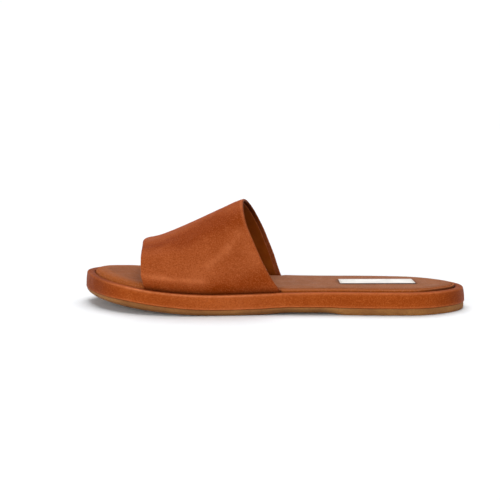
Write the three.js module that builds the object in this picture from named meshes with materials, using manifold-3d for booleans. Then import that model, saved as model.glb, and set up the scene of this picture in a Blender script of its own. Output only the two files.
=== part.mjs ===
// A woman's flat slide sandal for the left foot, EU 37. One wide leather strap comes up between
// a padded insole and the raised rim of a leather-covered midsole, over a thin moulded outsole.
// Millimetres. +X runs to the toe, +Y to the outer side of the foot, +Z up.
import * as THREE from "three";
import { mergeVertices } from "three/addons/utils/BufferGeometryUtils.js";
import Module from "manifold-3d";

// Sole, seen from above and from the side
const soleLength = 258;
const ballWidth = 90; // widest place, rim included
const toeShift = 5; // the toe tip lies this far to the inner side of the heel's middle
const toeSpring = 8.7; // the toe tip stands this far off the floor
const springLength = 100; // the stretch behind the toe tip that curves up
const springPower = 1.6;
const archRise = 1.1; // the waist stands this far off the floor
const sideHeight = 12.9; // floor to the top of the rim, at the ball
const heelLift = 1.3; // the rim stands this much higher at the heel
const outsoleThickness = 3.6; // at the ball
const outsoleInset = 0.4; // the outsole's edge lies this far inside the midsole's
const midsoleFloor = 3.0;

// Rim of the midsole
const rimWidth = 5.2;
const rimFlare = 0.8; // the outer wall leans out by this much towards the floor
const rimOuterRadius = 1.5;
const rimInnerRadius = 0.9;

// Insole
const insoleSink = 1.4; // the insole's edge lies this far under the rim's top
const insoleCrown = 3.4; // and its middle this far above its edge
const insoleCrownWidth = 9;
const insolePad = 0.7; // the forefoot is padded up by this much more

// Strap
const strapWall = 2.2;
const strapInstepHeight = 57.4; // ridge at the rear edge, over the rim
const strapRidgeFromToe = 41.2; // front edge on the ridge, behind the toe tip
const strapRidgeLength = 69.9;
const strapOuterFromToe = 49.1; // front edge at the foot of the strap, outer side
const strapOuterLength = 88.5;
const strapInnerFromToe = 43; // the same on the inner side
const strapInnerLength = 92.1;
const strapMargin = 9; // what is turned in under the insole on each side
const strapBend = 2.4; // radius of that turn, at the middle of the wall

// Label on the insole
const labelLength = 50;
const labelWidth = 16;
const labelThickness = 0.6;
const labelFromHeel = 58; // its middle, from the back of the heel
const labelAside = 0.9; // and from the sole's middle towards the outer side
const labelTurn = 4.8; // degrees that its front end is turned to the outer side
const labelProud = 0.4; // it stands in a shallow pocket, this far above the insole

// Tread
const grooveWidth = 1.8;
const grooveDepth = 1.0;
const groovePitch = 7;
const grooveEdge = 9; // the grooves stop this far inside the outsole's edge

const clearance = 0.3; // between pieces that touch on the real sandal

// Stretches of the sole that are grooved, as shares of its length from the heel.
const grooveRows = [
  { from: 0.06, to: 0.155 },
  { from: 0.205, to: 0.3 },
  { from: 0.625, to: 0.93 },
];

// Outline of the sole: shares of its length from the heel, and of half the ball width to each side.
const outlineRows = [
  { along: 0.012, outer: 0.258, inner: 0.242 },
  { along: 0.05, outer: 0.493, inner: 0.473 },
  { along: 0.115, outer: 0.689, inner: 0.662 },
  { along: 0.22, outer: 0.753, inner: 0.722 },
  { along: 0.35, outer: 0.771, inner: 0.704 },
  { along: 0.48, outer: 0.827, inner: 0.736 },
  { along: 0.6, outer: 0.936, inner: 0.844 },
  { along: 0.71, outer: 1.004, inner: 0.982 },
  { along: 0.81, outer: 0.933, inner: 0.998 },
  { along: 0.895, outer: 0.722, inner: 0.88 },
  { along: 0.95, outer: 0.453, inner: 0.671 },
  { along: 0.985, outer: 0.156, inner: 0.44 },
];
const stepsPerRow = 4;

// How the sole changes from heel to toe. lift, arch and pad: shares of the heel lift, the arch rise
// and the insole's extra padding. outsole: its thickness against that at the ball. bevelIn, bevelUp:
// the bottom edge's bevel, as shares of the outsole's thickness.
const profileRows = [
  { along: 0.0, lift: 1, arch: 0, pad: 0, outsole: 1.22, bevelIn: 0.15, bevelUp: 0.18 },
  { along: 0.3, lift: 1, arch: 0, pad: 0, outsole: 1.24, bevelIn: 0.15, bevelUp: 0.18 },
  { along: 0.355, lift: 0.93, arch: 1, pad: 0, outsole: 1.34, bevelIn: 0.5, bevelUp: 0.62 },
  { along: 0.44, lift: 0.65, arch: 1, pad: 0.4, outsole: 1.34, bevelIn: 0.5, bevelUp: 0.62 },
  { along: 0.525, lift: 0.3, arch: 0, pad: 1, outsole: 1.1, bevelIn: 0.3, bevelUp: 0.45 },
  { along: 0.64, lift: 0, arch: 0, pad: 1, outsole: 1.0, bevelIn: 0.25, bevelUp: 0.35 },
  { along: 0.84, lift: 0, arch: 0, pad: 1, outsole: 1.1, bevelIn: 0.2, bevelUp: 0.3 },
  { along: 0.9, lift: 0, arch: 0, pad: 1, outsole: 0.92, bevelIn: 0.2, bevelUp: 0.3 },
  { along: 0.96, lift: 0, arch: 0, pad: 1, outsole: 0.65, bevelIn: 0.3, bevelUp: 0.4 },
  { along: 1.0, lift: 0, arch: 0, pad: 0.6, outsole: 0.35, bevelIn: 0.5, bevelUp: 0.5 },
];

// The padded insole's edge: shares of the crown's width inwards and of its height.
const crownRows = [
  { inward: 0.0, rise: 0.0 },
  { inward: 0.05, rise: 0.3 },
  { inward: 0.15, rise: 0.56 },
  { inward: 0.33, rise: 0.8 },
  { inward: 0.6, rise: 0.95 },
  { inward: 1.0, rise: 1.0 },
];

// Height of the strap's ridge from its front edge to its rear edge, as a share of the instep height.
const ridgeRows = [
  { at: 0, rise: 0.472 },
  { at: 0.133, rise: 0.528 },
  { at: 0.292, rise: 0.617 },
  { at: 0.446, rise: 0.709 },
  { at: 0.59, rise: 0.793 },
  { at: 0.72, rise: 0.863 },
  { at: 0.843, rise: 0.927 },
  { at: 0.923, rise: 0.97 },
  { at: 1, rise: 1.0 },
];

// The strap's arch from the outer foot over the ridge to the inner foot, at its front and rear
// edges. across: share of half the span between its feet. up: share of the ridge's height.
// lean: share of the way along the sole from where the foot stands to where the ridge is.
const archRows = [
  { frontAcross: 1.0, frontUp: 0.0, frontLean: 0.0, rearAcross: 1.0, rearUp: 0.0, rearLean: 0.0 },
  { frontAcross: 1.07, frontUp: 0.2, frontLean: 0.07, rearAcross: 1.07, rearUp: 0.14, rearLean: 0.2 },
  { frontAcross: 1.08, frontUp: 0.46, frontLean: 0.15, rearAcross: 1.09, rearUp: 0.34, rearLean: 0.43 },
  { frontAcross: 0.99, frontUp: 0.72, frontLean: 0.24, rearAcross: 0.99, rearUp: 0.56, rearLean: 0.65 },
  { frontAcross: 0.78, frontUp: 0.89, frontLean: 0.38, rearAcross: 0.8, rearUp: 0.76, rearLean: 0.85 },
  { frontAcross: 0.4, frontUp: 0.975, frontLean: 0.65, rearAcross: 0.46, rearUp: 0.925, rearLean: 0.96 },
  { frontAcross: -0.05, frontUp: 1.0, frontLean: 1.0, rearAcross: -0.08, rearUp: 1.0, rearLean: 1.0 },
  { frontAcross: -0.48, frontUp: 0.975, frontLean: 0.97, rearAcross: -0.55, rearUp: 0.96, rearLean: 0.93 },
  { frontAcross: -0.82, frontUp: 0.87, frontLean: 0.85, rearAcross: -0.88, rearUp: 0.81, rearLean: 0.75 },
  { frontAcross: -1.01, frontUp: 0.66, frontLean: 0.6, rearAcross: -1.04, rearUp: 0.56, rearLean: 0.49 },
  { frontAcross: -1.06, frontUp: 0.36, frontLean: 0.3, rearAcross: -1.08, rearUp: 0.3, rearLean: 0.25 },
  { frontAcross: -1.04, frontUp: 0.15, frontLean: 0.1, rearAcross: -1.04, rearUp: 0.12, rearLean: 0.11 },
  { frontAcross: -1.0, frontUp: 0.0, frontLean: 0.0, rearAcross: -1.0, rearUp: 0.0, rearLean: 0.0 },
];
const archSteps = 34; // facets over the arch
const strapSteps = 12; // facets from the front edge to the rear edge
const edgeSteps = 4; // facets round each folded edge
const bendSteps = 3; // facets round each turn under the insole

// All the columns of a table at one place, along a smooth curve through its rows.
function rowAt(rows, key, place) {
  const last = rows.length - 2;
  let i = rows.findIndex((row) => row[key] > place) - 1;
  if (i < 0) i = place < rows[0][key] ? 0 : last;
  const [a, b] = [rows[i], rows[i + 1]];
  const before = rows[Math.max(i - 1, 0)];
  const after = rows[Math.min(i + 2, rows.length - 1)];
  const width = b[key] - a[key];
  const t = THREE.MathUtils.clamp((place - a[key]) / width, 0, 1);
  const found = {};
  for (const column of Object.keys(a)) {
    const slopeA = ((b[column] - before[column]) / (b[key] - before[key])) * width;
    const slopeB = ((after[column] - a[column]) / (after[key] - a[key])) * width;
    const flatA = (b[column] - a[column]) * (a[column] - before[column]) <= 0 && before !== a;
    const flatB = (after[column] - b[column]) * (b[column] - a[column]) <= 0 && after !== b;
    const mA = flatA ? 0 : slopeA;
    const mB = flatB ? 0 : slopeB;
    found[column] =
      a[column] * (2 * t ** 3 - 3 * t ** 2 + 1) +
      mA * (t ** 3 - 2 * t ** 2 + t) +
      b[column] * (3 * t ** 2 - 2 * t ** 3) +
      mB * (t ** 3 - t ** 2);
  }
  return found;
}

const mix = THREE.MathUtils.lerp;
const profileAt = (x) => rowAt(profileRows, "along", x / soleLength + 0.5);

// Heights of the sole's layers at a place along it.
function springAt(x) {
  const share = THREE.MathUtils.clamp(1 - (soleLength / 2 - x) / springLength, 0, 1);
  return toeSpring * share ** springPower;
}
const groundAt = (x) => springAt(x) + archRise * profileAt(x).arch;
const seamAt = (x) => springAt(x) + outsoleThickness * profileAt(x).outsole;
const rimTopAt = (x) => springAt(x) + sideHeight + heelLift * profileAt(x).lift;
const floorAt = (x) => seamAt(x) + midsoleFloor;
const insoleEdgeAt = (x) => rimTopAt(x) - insoleSink;
const insoleTopAt = (x) => insoleEdgeAt(x) + insoleCrown + insolePad * profileAt(x).pad;

// The outline, counter-clockwise from the toe tip: outer side, heel, inner side.
const tip = (along, across) => new THREE.Vector3((along - 0.5) * soleLength, across, 0);
const outline = new THREE.CatmullRomCurve3(
  [
    tip(1, -toeShift),
    ...outlineRows.map((row) => tip(row.along, (row.outer * ballWidth) / 2)).reverse(),
    tip(0, 0),
    ...outlineRows.map((row) => tip(row.along, (-row.inner * ballWidth) / 2)),
  ],
  true,
  "centripetal",
);
const ringCount = 2 * (outlineRows.length + 1) * stepsPerRow;

// A ring of points: the outline drawn in by some inset, at some height.
function ring(inset, height) {
  const points = [];
  for (let i = 0; i < ringCount; i++) {
    const point = outline.getPoint(i / ringCount);
    const tangent = outline.getTangent(i / ringCount);
    const drawnIn = typeof inset === "function" ? inset(point.x) : inset;
    point.x -= tangent.y * drawnIn;
    point.y += tangent.x * drawnIn;
    point.z = height(point.x);
    points.push(point);
  }
  return points;
}

// A closed solid from rows of points. Each row joins the next one, and the rows are closed rings.
function skinOf(rows, caps) {
  const width = rows[0].length;
  const position = rows.flat().flatMap((p) => [p.x, p.y, p.z]);
  const index = [];
  for (let r = 0; r + 1 < rows.length; r++) {
    for (let i = 0; i < width; i++) {
      const j = (i + 1) % width;
      const [a, b, c, d] = [r * width + i, r * width + j, (r + 1) * width + j, (r + 1) * width + i];
      index.push(a, b, c, a, c, d);
    }
  }
  index.push(...caps(width, 0).reverse(), ...caps(width, (rows.length - 1) * width));
  const geometry = new THREE.BufferGeometry();
  geometry.setAttribute("position", new THREE.Float32BufferAttribute(position, 3));
  geometry.setIndex(index);
  return geometry;
}

// A cap of rungs from side to side over a ring that has its two ends at 0 and half way.
function ladder(width, first) {
  const half = width / 2;
  const index = [];
  for (let i = 0; i < half; i++) {
    const [a, b] = [first + i, first + i + 1];
    const [c, d] = [first + width - i - 1, first + ((width - i) % width)];
    if (i + 1 < half) index.push(a, b, c);
    else index.push(a, b, d);
    if (i > 0 && i + 1 < half) index.push(a, c, d);
  }
  return index;
}

// Points of a quarter turn of the rim's edge, from one angle to another.
function edgeRings(inset, drop, radius, from, to, steps) {
  const rings = [];
  for (let i = 0; i <= steps; i++) {
    const angle = THREE.MathUtils.degToRad(mix(from, to, i / steps));
    const along = inset - radius * Math.cos(angle);
    rings.push(ring(along, (x) => rimTopAt(x) - drop + radius * Math.sin(angle)));
  }
  return rings;
}

const rimInset = rimFlare + rimWidth;
const insoleInset = rimInset + clearance;

function midsoleGeometry() {
  const outerMiddle = rimFlare + rimOuterRadius;
  const innerMiddle = rimInset - rimInnerRadius;
  const rings = [
    ring(outsoleInset, seamAt),
    ring(0, (x) => seamAt(x) + outsoleInset),
    ...edgeRings(outerMiddle, rimOuterRadius, rimOuterRadius, 0, 90, 4),
    ...edgeRings(innerMiddle, rimInnerRadius, rimInnerRadius, 90, 180, 3),
    ring(rimInset, floorAt),
  ];
  return skinOf(rings, ladder);
}

function insoleGeometry() {
  const bottomAt = (x) => floorAt(x) + clearance;
  const rings = [
    ring(insoleInset + clearance, bottomAt),
    ring(insoleInset, (x) => bottomAt(x) + clearance),
    ...crownRows.map((row) =>
      ring(
        insoleInset + row.inward * insoleCrownWidth,
        (x) => mix(insoleEdgeAt(x), insoleTopAt(x), row.rise),
      ),
    ),
  ];
  return skinOf(rings, ladder);
}

function outsoleGeometry() {
  const bevelIn = (x) => outsoleInset + profileAt(x).bevelIn * (seamAt(x) - springAt(x));
  const bevelTop = (x) => mix(groundAt(x), seamAt(x), profileAt(x).bevelUp);
  const rings = [
    ring(bevelIn, groundAt),
    ring((x) => mix(bevelIn(x), outsoleInset, 0.7), (x) => mix(groundAt(x), bevelTop(x), 0.45)),
    ring(outsoleInset, bevelTop),
    ring(outsoleInset, (x) => seamAt(x) - clearance),
  ];
  return skinOf(rings, ladder);
}

// The place across the sole, at a length along it, of the outline drawn in by some inset.
function acrossAt(side, x, inset) {
  const points = ring(inset, () => 0);
  const half = points.length / 2;
  const sidePoints = side > 0 ? points.slice(0, half + 1).reverse() : points.slice(half);
  const i = Math.max(1, sidePoints.findIndex((p) => p.x > x));
  const [a, b] = [sidePoints[i - 1], sidePoints[i]];
  return mix(a.y, b.y, (x - a.x) / (b.x - a.x));
}

// The middle of the strap's wall along one section, from the margin under the insole on the
// outer side, up, over the foot and down to the margin on the inner side.
function strapSection(at, margin) {
  const half = strapWall / 2;
  const toe = soleLength / 2;
  const footX = (fromToe, length) => mix(toe - fromToe - half, toe - fromToe - length + half, at);
  const outerX = footX(strapOuterFromToe, strapOuterLength);
  const innerX = footX(strapInnerFromToe, strapInnerLength);
  const ridgeX = footX(strapRidgeFromToe, strapRidgeLength);
  const wallInset = rimInset + clearance + half;
  const outerY = acrossAt(1, outerX, wallInset);
  const innerY = acrossAt(-1, innerX, wallInset);
  const ridge = strapInstepHeight * rowAt(ridgeRows, "at", at).rise - half;

  // One side's margin, turn and upright, from the outside in.
  function footOf(side, x, y) {
    const low = floorAt(x) + clearance + half;
    const points = [new THREE.Vector3(x, y - side * (strapBend + margin), low)];
    for (let i = 0; i <= bendSteps; i++) {
      const angle = (Math.PI / 2) * (i / bendSteps);
      const inwards = strapBend * (1 - Math.sin(angle));
      points.push(new THREE.Vector3(x, y - side * inwards, low + strapBend * (1 - Math.cos(angle))));
    }
    return points;
  }

  // The arch from the outer foot, through its rows, to the inner foot.
  const rows = archRows.map((row) => {
    const across = mix(row.frontAcross, row.rearAcross, at);
    const up = mix(row.frontUp, row.rearUp, at);
    const lean = mix(row.frontLean, row.rearLean, at);
    const outerShare = (across + 1) / 2;
    const low = mix(rimTopAt(innerX), rimTopAt(outerX), THREE.MathUtils.clamp(outerShare, 0, 1));
    const x = mix(across > 0 ? outerX : innerX, ridgeX, lean);
    return new THREE.Vector3(x, mix(innerY, outerY, outerShare), low + up * ridge);
  });
  const curve = new THREE.CatmullRomCurve3(rows, false, "centripetal");
  const arch = [];
  for (let i = 0; i <= archSteps; i++) arch.push(curve.getPointAt(i / archSteps));
  return [...footOf(1, outerX, outerY), ...arch, ...footOf(-1, innerX, innerY).reverse()];
}

// The strap, or with some growth the pocket that it needs, as loops round the wall's section.
function strapGeometry(growth) {
  const half = strapWall / 2 + growth;
  const sections = [];
  for (let i = 0; i <= strapSteps; i++) sections.push(strapSection(i / strapSteps, strapMargin + growth));
  const pointAt = (s, k) => sections[s][k];
  const count = sections[0].length;
  const difference = (a, b) => new THREE.Vector3().subVectors(a, b);
  const loops = [];
  for (let k = 0; k < count; k++) {
    const outside = [];
    const inside = [];
    let front;
    let rear;
    for (let s = 0; s <= strapSteps; s++) {
      const back = difference(pointAt(Math.min(s + 1, strapSteps), k), pointAt(Math.max(s - 1, 0), k));
      const over = difference(pointAt(s, Math.min(k + 1, count - 1)), pointAt(s, Math.max(k - 1, 0)));
      const normal = new THREE.Vector3().crossVectors(back, over).normalize();
      const edge = new THREE.Vector3().crossVectors(over, normal).normalize();
      const middle = pointAt(s, k);
      outside.push(middle.clone().addScaledVector(normal, half));
      inside.push(middle.clone().addScaledVector(normal, -half));
      if (s === 0) front = { middle, normal, edge: edge.clone().negate() };
      if (s === strapSteps) rear = { middle, normal, edge };
    }
    const round = ({ middle, normal, edge }, from) => {
      const points = [];
      for (let i = 1; i < edgeSteps; i++) {
        const angle = from + (Math.PI * i) / edgeSteps;
        const point = middle.clone().addScaledVector(normal, half * Math.cos(angle));
        points.push(point.addScaledVector(edge, half * Math.abs(Math.sin(angle))));
      }
      return points;
    };
    loops.push([...outside, ...round(rear, 0), ...inside.reverse(), ...round(front, Math.PI)]);
  }
  return skinOf(loops, fan);
}

// A cap that joins a loop's outside to its inside, for a loop that starts on one long side.
function fan(width, first) {
  const index = [];
  let [low, high] = [0, width - 1];
  while (high - low > 1) {
    index.push(first + low, first + low + 1, first + high);
    if (high - low > 2) index.push(first + low + 1, first + high - 1, first + high);
    low += 1;
    high -= 1;
  }
  return index;
}

const wasm = await Module();
wasm.setup();

function toSolid(geometry) {
  const bare = geometry.clone();
  bare.deleteAttribute("normal");
  bare.deleteAttribute("uv");
  const merged = mergeVertices(bare, 1e-4);
  return new wasm.Manifold(
    new wasm.Mesh({
      numProp: 3,
      vertProperties: merged.attributes.position.array,
      triVerts: new Uint32Array(merged.index.array),
    }),
  );
}

function toGeometry(solid) {
  const mesh = solid.getMesh();
  const geometry = new THREE.BufferGeometry();
  geometry.setAttribute("position", new THREE.BufferAttribute(mesh.vertProperties, 3));
  geometry.setIndex(new THREE.BufferAttribute(mesh.triVerts, 1));
  return geometry;
}

// Cross grooves of the tread, with plain bands between them that the sandal stands on.
function grooves() {
  const cutters = [];
  for (const { from, to } of grooveRows) {
    const length = (to - from) * soleLength;
    const count = Math.floor(length / groovePitch);
    for (let i = 0; i <= count; i++) {
      const x = (from - 0.5) * soleLength + i * groovePitch + (length - count * groovePitch) / 2;
      const outer = acrossAt(1, x, outsoleInset + grooveEdge);
      const inner = acrossAt(-1, x, outsoleInset + grooveEdge);
      const height = 4 * grooveDepth;
      const box = new THREE.BoxGeometry(grooveWidth, outer - inner, height);
      box.translate(x, (outer + inner) / 2, groundAt(x) + grooveDepth - height / 2);
      cutters.push(toSolid(box));
    }
  }
  return cutters;
}

// The label, or with some growth the pocket that it lies in.
function labelGeometry(growth) {
  const thickness = labelThickness + 2 * growth;
  const size = [labelLength + 2 * growth, labelWidth + 2 * growth, thickness];
  const box = new THREE.BoxGeometry(...size, 8, 1, 1);
  box.rotateZ(THREE.MathUtils.degToRad(labelTurn));
  box.translate(labelFromHeel - soleLength / 2, labelAside, 0);
  const place = box.attributes.position;
  for (let i = 0; i < place.count; i++) {
    const middleZ = insoleTopAt(place.getX(i)) + labelProud - labelThickness / 2;
    place.setZ(i, middleZ + place.getZ(i));
  }
  return box;
}

function piece(name, geometry, color, roughness) {
  const mesh = new THREE.Mesh(
    geometry,
    new THREE.MeshStandardMaterial({ color, roughness, metalness: 0 }),
  );
  mesh.name = name;
  return mesh;
}

const outsole = grooves().reduce((solid, cutter) => solid.subtract(cutter), toSolid(outsoleGeometry()));
const insole = toSolid(insoleGeometry())
  .subtract(toSolid(strapGeometry(clearance)))
  .subtract(toSolid(labelGeometry(clearance)));

const shoe = new THREE.Group();
shoe.add(
  piece("outsole", toGeometry(outsole), 0x95693d, 0.75),
  piece("midsole", midsoleGeometry(), 0xa65429, 0.5),
  piece("insole", toGeometry(insole), 0xab6b49, 0.7),
  piece("upper", strapGeometry(0), 0xa65429, 0.45),
  piece("insole_label", labelGeometry(0), 0xf2f0ec, 0.6),
);

// The origin is on the floor, under the middle of the shoe.
const bounds = new THREE.Box3().setFromObject(shoe);
const middle = bounds.getCenter(new THREE.Vector3());
shoe.position.set(-middle.x, -middle.y, -bounds.min.z);

const slide = new THREE.Group();
slide.add(shoe);

export default slide;
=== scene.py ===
"""A brown leather slide sandal, dressed for a product photograph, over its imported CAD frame.

Sizes are millimetres in the shoe's own frame: +X to the toe, +Y to the outer side, +Z up.
"""

import math

import bmesh
import bpy
import numpy as np
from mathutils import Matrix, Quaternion, Vector


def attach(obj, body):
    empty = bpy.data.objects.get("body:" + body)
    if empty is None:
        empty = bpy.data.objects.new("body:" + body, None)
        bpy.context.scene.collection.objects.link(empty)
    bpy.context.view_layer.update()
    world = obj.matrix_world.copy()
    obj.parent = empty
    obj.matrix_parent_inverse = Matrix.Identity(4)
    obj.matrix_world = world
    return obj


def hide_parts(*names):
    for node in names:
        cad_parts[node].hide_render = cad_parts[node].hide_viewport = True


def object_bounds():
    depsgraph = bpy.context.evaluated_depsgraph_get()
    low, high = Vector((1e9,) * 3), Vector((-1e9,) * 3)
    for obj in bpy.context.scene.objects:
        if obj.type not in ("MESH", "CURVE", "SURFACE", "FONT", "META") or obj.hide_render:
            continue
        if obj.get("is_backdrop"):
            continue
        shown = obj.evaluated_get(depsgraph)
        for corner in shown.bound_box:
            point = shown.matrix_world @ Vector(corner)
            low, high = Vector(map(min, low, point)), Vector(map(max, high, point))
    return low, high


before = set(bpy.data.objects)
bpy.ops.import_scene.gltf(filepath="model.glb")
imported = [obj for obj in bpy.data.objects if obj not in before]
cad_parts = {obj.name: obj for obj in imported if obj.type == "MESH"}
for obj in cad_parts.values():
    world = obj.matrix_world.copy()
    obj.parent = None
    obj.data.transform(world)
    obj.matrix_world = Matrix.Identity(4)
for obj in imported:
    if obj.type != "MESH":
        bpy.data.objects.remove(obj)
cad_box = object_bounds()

MM = 0.001

# Sizes, as in the CAD source

SOLE_LENGTH = 258.0
BALL_WIDTH = 90.0
TOE_SHIFT = 5.0
TOE_SPRING = 8.7
SPRING_LENGTH = 100.0
SPRING_POWER = 1.6
ARCH_RISE = 1.1
SIDE_HEIGHT = 12.9
HEEL_LIFT = 1.3
OUTSOLE_THICKNESS = 3.6
OUTSOLE_INSET = 0.4
MIDSOLE_FLOOR = 3.0
RIM_WIDTH = 5.2
RIM_FLARE = 0.8
RIM_OUTER_RADIUS = 1.5
RIM_INNER_RADIUS = 0.9
INSOLE_SINK = 1.4
INSOLE_CROWN = 3.4
INSOLE_PAD = 0.7
STRAP_WALL = 2.2
STRAP_INSTEP_HEIGHT = 57.4
STRAP_RIDGE = (41.2, 69.9)  # front edge behind the toe tip, and length
STRAP_OUTER = (49.1, 88.5)
STRAP_INNER = (43.0, 92.1)
STRAP_MARGIN = 9.0
STRAP_BEND = 2.4
LABEL_SIZE = (50.0, 16.0, 0.6)
LABEL_FROM_HEEL = 58.0
LABEL_ASIDE = 0.9
LABEL_TURN = 4.8  # degrees
LABEL_PROUD = 0.4
GROOVE_WIDTH = 1.8
GROOVE_DEPTH = 1.0
GROOVE_PITCH = 7.0
GROOVE_EDGE = 9.0
GROOVE_STRETCHES = [(0.06, 0.155), (0.205, 0.3), (0.625, 0.93)]
CLEARANCE = 0.3
OUTSOLE_GLUE = 0.05  # the outsole's top lies this far under the leather of the midsole

# along, outer, inner: shares of the sole's length and of half the ball width
OUTLINE = [
    (0.012, 0.258, 0.242),
    (0.05, 0.493, 0.473),
    (0.115, 0.689, 0.662),
    (0.22, 0.753, 0.722),
    (0.35, 0.771, 0.704),
    (0.48, 0.827, 0.736),
    (0.6, 0.936, 0.844),
    (0.71, 1.004, 0.982),
    (0.81, 0.933, 0.998),
    (0.895, 0.722, 0.88),
    (0.95, 0.453, 0.671),
    (0.985, 0.156, 0.44),
]

# The sole from heel to toe
PROFILE = {
    "along": [0.0, 0.3, 0.355, 0.44, 0.525, 0.64, 0.84, 0.9, 0.96, 1.0],
    "lift": [1, 1, 0.93, 0.65, 0.3, 0, 0, 0, 0, 0],
    "arch": [0, 0, 1, 1, 0, 0, 0, 0, 0, 0],
    "pad": [0, 0, 0, 0.4, 1, 1, 1, 1, 1, 0.6],
    "outsole": [1.22, 1.24, 1.34, 1.34, 1.1, 1.0, 1.1, 0.92, 0.65, 0.35],
    "bevel_in": [0.15, 0.15, 0.5, 0.5, 0.3, 0.25, 0.2, 0.2, 0.3, 0.5],
    "bevel_up": [0.18, 0.18, 0.62, 0.62, 0.45, 0.35, 0.3, 0.3, 0.4, 0.5],
}

# The strap's ridge from its front edge to its rear edge
RIDGE = {
    "at": [0, 0.133, 0.292, 0.446, 0.59, 0.72, 0.843, 0.923, 1],
    "rise": [0.472, 0.528, 0.617, 0.709, 0.793, 0.863, 0.927, 0.97, 1.0],
}

# The strap's arch from the outer foot over the ridge to the inner foot: across, up, lean
ARCH_FRONT = [
    (1.0, 0.0, 0.0),
    (1.07, 0.2, 0.07),
    (1.08, 0.46, 0.15),
    (0.99, 0.72, 0.24),
    (0.78, 0.89, 0.38),
    (0.4, 0.975, 0.65),
    (-0.05, 1.0, 1.0),
    (-0.48, 0.975, 0.97),
    (-0.82, 0.87, 0.85),
    (-1.01, 0.66, 0.6),
    (-1.06, 0.36, 0.3),
    (-1.04, 0.15, 0.1),
    (-1.0, 0.0, 0.0),
]
ARCH_REAR = [
    (1.0, 0.0, 0.0),
    (1.07, 0.14, 0.2),
    (1.09, 0.34, 0.43),
    (0.99, 0.56, 0.65),
    (0.8, 0.76, 0.85),
    (0.46, 0.925, 0.96),
    (-0.08, 1.0, 1.0),
    (-0.55, 0.96, 0.93),
    (-0.88, 0.81, 0.75),
    (-1.04, 0.56, 0.49),
    (-1.08, 0.3, 0.25),
    (-1.04, 0.12, 0.11),
    (-1.0, 0.0, 0.0),
]

# Looks

# The midsole's leather from under the seam up to its wall: millimetres in from the outline and
# over the seam, and how much painted shade and painted highlight it has. It turns under at the
# seam with the outsole, where shade is painted, and a highlight is painted on the bead above.
SEAM_TURN = [
    (3.0, 0.0, 0.9, 0.0),
    (0.6, 0.0, 0.9, 0.0),
    (0.3, 0.08, 0.7, 0.0),
    (0.06, 0.3, 0.25, 0.0),
    (-0.08, 0.6, 0.0, 0.3),
    (-0.1, 0.95, 0.0, 0.35),
    (-0.04, 1.35, 0.0, 0.1),
]
WALL_START = 1.4  # the wall begins this far over the seam
WALL_PUFF = 0.14  # it bulges by this much
RIM_CROWN = 0.04  # the top of the rim is higher in its middle by this
RIM_SHADED = 1.8  # the inside of the rim is dark below this

# The footbed's edge from its side inwards: millimetres in, height as a share of the crown, how
# much painted highlight and how much painted shade it has. A turned edge stands round it like a
# cord, with a crease behind; the highlight is painted along the cord, and shade in the crease and
# on its side.
FOOTBED_EDGE = [
    (0.0, 0.0, 0.0, 0.6),
    (0.06, 0.3, 0.0, 0.35),
    (0.2, 0.55, 0.1, 0.05),
    (0.45, 0.7, 0.5, 0.0),
    (0.8, 0.785, 0.9, 0.0),
    (1.15, 0.79, 0.7, 0.0),
    (1.4, 0.75, 0.1, 0.4),
    (1.65, 0.68, 0.0, 0.75),
    (1.9, 0.76, 0.0, 0.5),
    (2.15, 0.85, 0.35, 0.15),
    (2.6, 0.89, 0.0, 0.22),
    (3.4, 0.92, 0.0, 0.2),
    (4.8, 0.955, 0.0, 0.12),
    (6.6, 0.98, 0.0, 0.0),
    (9.0, 1.0, 0.0, 0.0),
]

FOOTBED_EASE = 3.5  # over this length the footbed goes back to the rim beside the strap

# The label from the foot of its side inwards: millimetres in, millimetres down, and how soiled it
# is. A pressed border runs round it.
LABEL_EDGE = [
    (0.0, LABEL_SIZE[2], 1.0),
    (0.0, 0.22, 1.0),
    (0.05, 0.1, 1.0),
    (0.14, 0.03, 0.9),
    (0.3, 0.0, 0.6),
    (0.8, 0.02, 0.2),
    (1.2, 0.08, 0.5),
    (1.6, 0.02, 0.1),
    (3.0, 0.0, 0.0),
    (6.0, 0.0, 0.0),
]
LABEL_CORNER = 0.9  # radius
LABEL_RIB = 0.987  # from rib to rib of its cloth

# Strokes on the strap. Each runs from one place to another, given as a share of the
# strap's length from its front edge and a share of the arch from the outer rim to the inner one,
# with its half width in millimetres.
# Soft folds: the last number is the height, in millimetres.
FOLDS = [
    ((0.5, 0.12), (0.78, 0.205), 3.8, 0.36),
    ((0.76, 0.2), (0.98, 0.275), 4.0, 0.32),
    ((0.96, 0.21), (1.0, 0.24), 7.0, 0.25),
    ((0.0, 0.086), (0.47, 0.074), 3.0, 0.5),
    ((0.0, 0.045), (0.6, 0.035), 3.2, -0.5),
    ((0.0, 0.3), (0.4, 0.31), 10.0, -0.3),
    ((0.0, 0.912), (0.6, 0.93), 3.4, 0.4),
    ((0.1, 0.95), (0.7, 0.965), 3.2, -0.45),
    ((0.5, 0.87), (1.0, 0.76), 5.5, 0.6),
    ((0.6, 0.91), (0.95, 0.83), 6.0, -0.55),
    ((0.2, 0.66), (0.75, 0.64), 9.0, -0.3),
]

# Painted shade on the strap, which makes the leather deeper in colour: the last number is how much.
SHADE_STROKES = [
    ((0.0, 0.305), (0.36, 0.305), 12.0, 1.0),
    ((0.36, 0.31), (0.65, 0.36), 10.0, 0.8),
    ((0.65, 0.36), (1.0, 0.35), 12.0, 0.95),
    ((0.0, 0.44), (0.8, 0.47), 9.0, 0.35),
    ((0.62, 0.03), (1.0, 0.085), 9.0, 0.8),
    ((0.0, 0.03), (0.6, 0.02), 4.6, 0.65),
    ((0.0, 0.695), (0.36, 0.695), 12.0, 1.0),
    ((0.36, 0.69), (0.65, 0.64), 10.0, 0.8),
    ((0.65, 0.64), (1.0, 0.65), 12.0, 0.95),
    ((0.0, 0.56), (0.8, 0.53), 9.0, 0.35),
    ((0.62, 0.97), (1.0, 0.915), 9.0, 0.8),
    ((0.0, 0.97), (0.6, 0.98), 5.0, 0.5),
]
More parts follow.
